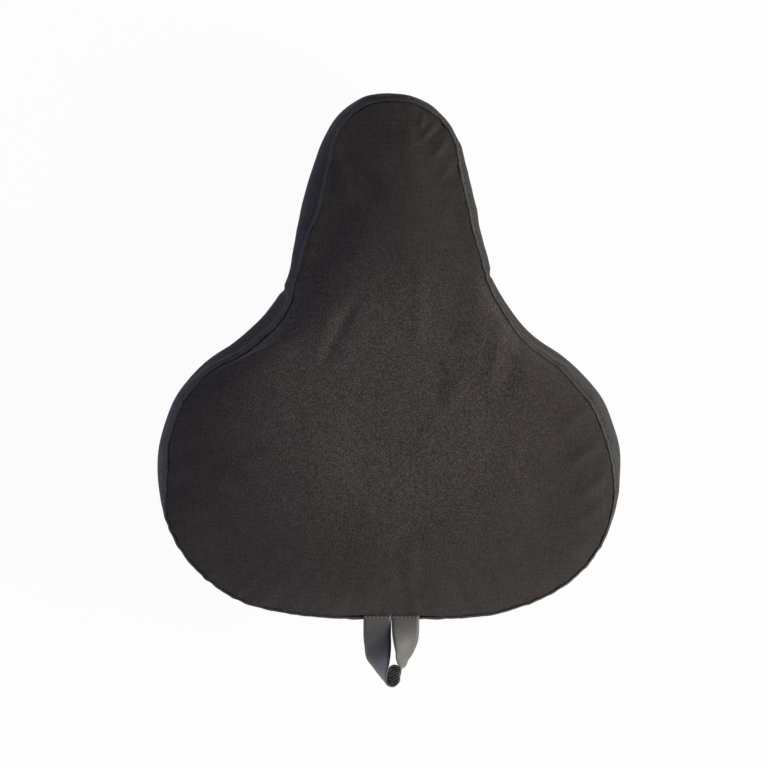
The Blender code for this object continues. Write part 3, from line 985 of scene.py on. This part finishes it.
def panel_grid(ring):
    """Edge under the band, then the crown from the seam in to the spine.

    Inward shares run from 0 at the seam to 1 at the spine, which lies along the ridge. X
    and Y go over to the spine's own point. The crown falls from the spine by (one minus
    share) to the power of the flatness at the rear, and at the nose by a hyperbola, which
    is straight but for its rounded ridge.
    """
    top, _ = shoulder(ring)
    depth = panel_depth(ring.point[:, 0])[:, None, None]
    flange = (top - depth * lefts(top))[:, :ALLOWANCE_ROWS][:, ::-1]
    flange = ring.place(flange[..., 0], flange[..., 1])
    seam = flange[:, -1:]
    local_y = seam[..., 1] - REAR_EDGE_Y
    lift = ring.seam_height[:, None] - seam_height(local_y)
    sunk = ring.seam_height[:, None] - seam[..., 2]
    front = COVER_LENGTH - SPINE_NOSE_SETBACK
    spine = (SPINE_REAR + (front - SPINE_REAR) * spine_share(ring.share))[:, None]
    spine_x = ridge_x(spine + REAR_EDGE_Y)
    near = np.array(NEAR_SEAM)[None] / np.hypot(seam[..., 0] - spine_x, local_y - spine)
    rest = (np.arange(1, PANEL_ROWS + 1) / PANEL_ROWS)[None] ** 1.15
    share = np.concatenate([near, near[:, -1:] + (1 - near[:, -1:]) * rest], axis=1)
    x = seam[..., 0] + (spine_x - seam[..., 0]) * share
    y = local_y + (spine - local_y) * share
    first, last = CROWN_CHANGE
    noseward = smoothstep((y - first) / (last - first))
    soft = RIDGE_SOFTNESS
    tent = (np.hypot(1 - share, soft) - soft) / (math.hypot(1, soft) - soft)
    fall = (1 - share) ** FLATNESS
    crown = panel_crown(y) * (1 - fall - (tent - fall) * noseward)
    inward = np.hypot(seam[..., 0] - x, local_y - y)
    relief = panel_relief(x, y + REAR_EDGE_Y, inward, share, ring.around)
    z = seam_height(y) + lift * (1 - share) + crown + relief
    z -= sunk * (1 - smoothstep(inward / SEAM_RISE))
    return np.concatenate([flange, np.stack([x, y + REAR_EDGE_Y, z], axis=2)], axis=1)


def make_panel(ring):
    grid = panel_grid(ring)
    joins = np.arange(grid[..., 0].size).reshape(grid.shape[:2])
    index = np.arange(STATIONS)
    joins[:, -1] = joins[np.minimum(index, STATIONS - index), -1]
    # The weave lies straight across the panel, so its pattern is read from above
    uv = np.concatenate([grid, grid[:1]])[..., :2]
    piece = grid_mesh("panel_cloth", grid, uv, [PANEL_CLOTH], ring=True, joins=joins)
    return give_thickness(piece, CLOTH)


# The elastic in the hem


def make_elastic(ring):
    """A tape that stands on edge in the casing and follows its waves.

    Its section is an oval whose cosine and sine are raised to powers below one, which
    fills out its corners.
    """
    outer = -ring.tuck - CLOTH / 2 - CLEARANCE
    middle = (outer - ELASTIC_THICKNESS / 2)[:, None]
    turn = np.arange(ELASTIC_SIDES) * 2 * math.pi / ELASTIC_SIDES
    wide = np.sign(np.cos(turn)) * np.abs(np.cos(turn)) ** 0.5
    tall = np.sign(np.sin(turn)) * np.abs(np.sin(turn)) ** 0.35
    offset = middle + ELASTIC_THICKNESS / 2 * np.append(wide, wide[0])[None]
    height = CLOTH + CLEARANCE + ELASTIC_WIDTH * (1 + np.append(tall, tall[0])[None]) / 2
    grid = ring.place(offset, height + 0 * offset)
    profile = np.stack([offset, height + 0 * offset], axis=2)
    joins = np.arange(grid[..., 0].size).reshape(grid.shape[:2])
    joins[:, -1] = joins[:, 0]
    return grid_mesh(
        "elastic", grid, profile_uv(ring, profile), [braided_elastic()], ring=True, joins=joins
    )


# The ribbon loop


def ribbon_root(ring):
    """Middle of a leg's root as (y, z): up behind the band's fold, then over the fold."""
    top, _ = shoulder(ring)
    across = lefts(top)
    root = (top - ribbon_depth() * across)[0, :ALLOWANCE_ROWS][::-1] * [-1, 1]
    fold = (top - allowance_depth() / 2 * across)[0, 0] * [-1, 1]
    radius = ribbon_depth() - allowance_depth() / 2
    angles = np.linspace(-math.pi / 2 + SEAM_SLOPE, math.pi / 2 + LEG_START_DROOP, 17)
    bend = fold + radius * np.column_stack([np.cos(angles), np.sin(angles)])
    return np.concatenate([root[:-1], bend]) + [REAR_EDGE_Y, 0]


def through(points, samples):
    """A smooth curve through rows of values, as Catmull and Rom's cubic between each two."""
    before = 2 * points[:1] - points[1:2]
    after = 2 * points[-1:] - points[-2:-1]
    whole = np.concatenate([before, points, after])
    t = np.linspace(0, 1, samples, endpoint=False)[:, None, None]
    p0, p1, p2, p3 = whole[:-3], whole[1:-2], whole[2:-1], whole[3:]
    bend = (2 * p0 - 5 * p1 + 4 * p2 - p3) * t**2 + (3 * p1 - p0 - 3 * p2 + p3) * t**3
    curve = p1 + ((p2 - p0) * t + bend) / 2
    return np.concatenate([curve.transpose(1, 0, 2).reshape(-1, 4), points[-1:]])


def ribbon_line(ring):
    """Middle points and width directions of the whole ribbon, end to end.

    The width is level and square to the line, and then rolled about it by the table's angle.
    """
    half_gap = (RIBBON_WIDTH + LEG_GAP) / 2
    root = ribbon_root(ring)
    left = np.column_stack([np.full(len(root), RIBBON_SHIFT - half_gap), root])
    right = left[::-1] + [2 * half_gap, 0, 0]
    ends = np.zeros((2, 4))
    ends[:, :3] = left[-1], right[0]
    table = np.array(LOOP_LINE) / [1000, 1000, 1000, 180 / math.pi]
    loop = through(np.concatenate([ends[:1], table, ends[1:]]), LOOP_SAMPLES)
    middle = np.concatenate([left[:-1], loop[:, :3], right[1:]])
    heading = np.gradient(middle, axis=0)
    heading /= np.linalg.norm(heading, axis=1, keepdims=True)
    level = np.column_stack([-heading[:, 1], heading[:, 0], np.zeros(len(middle))])
    level[: len(left)] = [1, 0, 0]
    level[-len(right) :] = [-1, 0, 0]
    level /= np.linalg.norm(level, axis=1, keepdims=True)
    roll = np.zeros((len(middle), 1))
    roll[len(left) - 1 : 1 - len(right), 0] = loop[:, 3]
    return middle, np.cos(roll) * level + np.sin(roll) * np.cross(heading, level)


def make_ribbon(ring):
    """The ribbon's width, in even steps, carried along its middle line."""
    middle, width = ribbon_line(ring)
    across = np.linspace(-0.5, 0.5, RIBBON_COLUMNS) * RIBBON_WIDTH
    grid = middle[:, None] + across[None, :, None] * width[:, None]
    far = travelled(middle[None])[0]
    uv = np.stack(np.meshgrid(across, far, indexing="xy"), axis=2)
    # Face painted grey for the sheen of the tape, with close flat ribs, and a black back whose pale
    # floats lie as slanting ribs; the floats are painted far paler, as painted light on the back
    # where the legs shade it.
    # The face's ribs are 1.1 mm apart, and the back's 1.9 mm, as its stripes look in the photo.
    front = twill_tape(
        "tape_face_painted_sheen", "#404141", "#626362", 0.0011, 0.04, math.radians(17), 0.6, 0.10
    )
    back = twill_tape(
        "black_tape_back", "#161618", "#BDBDC0", 0.0019, 0.48, math.radians(122), 0.7, 0.05
    )
    piece = grid_mesh("ribbon_loop", grid, uv, [front, back])
    return give_thickness(piece, RIBBON_THICKNESS, back_slot=1), grid, far


# The pieces put together


cover = Ring(STATIONS)
band, band_grid = make_band(cover)
panel = make_panel(cover)
elastic = make_elastic(cover)
ribbon, ribbon_grid, ribbon_far = make_ribbon(cover)

finish_piece(band, "band_cloth", "side_band")
finish_piece(panel, "panel_cloth", "top_panel")
finish_piece(elastic, "black_elastic", "hem_elastic")
finish_piece(ribbon, "grey_ribbon", "pull_loop")

band_normals = surface_normals(band_grid)
first_outside = ALLOWANCE_ROWS + FOLD_ROWS
topstitch_row = first_outside + round(TOPSTITCH / SEAM_ALLOWANCE * (ALLOWANCE_ROWS - 1))
outside_rows = ALLOWANCE_ROWS + SHOULDER_ROWS + LOWER_ROWS - 1 + CASING_ROWS - 2
outside = band_grid[0, first_outside : first_outside + outside_rows, 2]
hem_row = first_outside + int(np.argmin(np.abs(outside - HEM_STITCH_HEIGHT)))
BLACK_THREAD = spun_thread("black_sewing_thread", "#1E1D1D", "#3C3A3A")
for name, row in (("topstitching", topstitch_row), ("hem_stitching", hem_row)):
    line = band_grid[:, row] + (CLOTH / 2 + THREAD * 0.2) * band_normals[:, row]
    thread = stitches(
        name, line, band_normals[:, row], STITCH_PITCH, STITCH_LENGTH, THREAD, BLACK_THREAD
    )
    finish_piece(thread, "band_cloth")

# Both legs are tacked down across their roots with a paler thread
GREY_THREAD = spun_thread("grey_sewing_thread", "#4C4C4E", "#848484")
for name, row in (("left_leg_tack", TACK_ROW), ("right_leg_tack", -1 - TACK_ROW)):
    leg = ribbon_grid[row]
    up = np.cross(leg[-1] - leg[0], ribbon_grid[row + 1, 0] - ribbon_grid[row - 1, 0])
    up = np.tile(up / np.linalg.norm(up) * np.sign(up[2]), (len(leg), 1))
    line = leg + (RIBBON_THICKNESS / 2 + THREAD * 0.2) * up
    thread = stitches(name, line, up, TACK_PITCH, TACK_LENGTH, THREAD, GREY_THREAD, closed=False)
    finish_piece(thread, "grey_ribbon")

# Floor, light and camera


# How much of the floor is plain white to the camera; the rest is lit and keeps the shadow
FLOOR_GLOW = 0.96


def make_floor():
    """White paper: bright to the camera, a plain white to the light it throws back."""
    material = bpy.data.materials.new("white_paper")
    material.use_nodes = True
    tree = material.node_tree
    shader = tree.nodes["Principled BSDF"]
    shader.inputs["Base Color"].default_value = colour("#E6E6E6")
    shader.inputs["Roughness"].default_value = 0.9
    shader.inputs["Specular IOR Level"].default_value = 0.1
    rays = add_node(tree, "ShaderNodeLightPath")
    seen = rays.outputs["Is Camera Ray"]
    for name in ("Is Glossy Ray", "Is Transmission Ray"):
        seen = add_node(
            tree, "ShaderNodeMath", {0: seen, 1: rays.outputs[name]}, operation="MAXIMUM"
        )
    glow = add_node(tree, "ShaderNodeEmission", {"Color": (1, 1, 1, 1), "Strength": 1.0})
    share = add_node(tree, "ShaderNodeMath", {0: seen, 1: FLOOR_GLOW}, operation="MULTIPLY")
    mixed = add_node(tree, "ShaderNodeMixShader", {0: share, 1: shader, 2: glow})
    feed(tree, tree.nodes["Material Output"], {"Surface": mixed})
    half = 4.0
    mesh = bpy.data.meshes.new("floor")
    mesh.from_pydata(
        [(-half, -half, 0), (half, -half, 0), (half, half, 0), (-half, half, 0)], [], [(0, 1, 2, 3)]
    )
    mesh.materials.append(material)
    floor = bpy.data.objects.new("floor", mesh)
    bpy.context.scene.collection.objects.link(floor)


def area_light(name, azimuth, elevation, distance, size, power, tint):
    """A lamp of a width and height aimed at the cover; azimuth 0 is +X and 90 is the nose."""
    azimuth, elevation = math.radians(azimuth), math.radians(elevation)
    data = bpy.data.lights.new(name, "AREA")
    data.shape, data.energy = "RECTANGLE", power
    data.size, data.size_y = size
    data.color = colour(tint)[:3]
    lamp = bpy.data.objects.new(name, data)
    level = math.cos(elevation)
    away = (math.cos(azimuth) * level, math.sin(azimuth) * level, math.sin(elevation))
    lamp.location = [distance * a for a in away]
    lamp.rotation_euler = (math.pi / 2 - elevation, 0, azimuth + math.pi / 2)
    bpy.context.scene.collection.objects.link(lamp)


def make_world(tint, strength):
    world = bpy.data.worlds.new("studio")
    world.use_nodes = True
    ground = world.node_tree.nodes["Background"]
    ground.inputs["Color"].default_value = colour(tint)
    ground.inputs["Strength"].default_value = strength
    bpy.context.scene.world = world


def make_camera():
    """Straight above with a long lens: focal length is to sensor as distance to frame."""
    data = bpy.data.cameras.new("camera")
    data.sensor_width = SENSOR_WIDTH
    data.lens = SENSOR_WIDTH * (CAMERA_HEIGHT - BULGE_HEIGHT) / FRAME_WIDTH
    camera = bpy.data.objects.new("camera", data)
    camera.location = (CAMERA_X, CAMERA_Y, CAMERA_HEIGHT)
    bpy.context.scene.collection.objects.link(camera)
    bpy.context.scene.camera = camera


make_floor()
# Azimuth, elevation, distance, size, watts and tint of each lamp
area_light("warm_key", -12, 23.5, 2.2, (1.0, 1.0), 87, "#FFF7EA")
area_light("cool_fill", 176, 8, 2.2, (1.6, 0.6), 36, "#E6E2FF")
area_light("rear_fill", -102, 6, 2.2, (1.6, 0.6), 20, "#F4F2FF")
make_world("#E6E0FF", 0.09)
make_camera()
bpy.context.scene.view_settings.view_transform = "Standard"
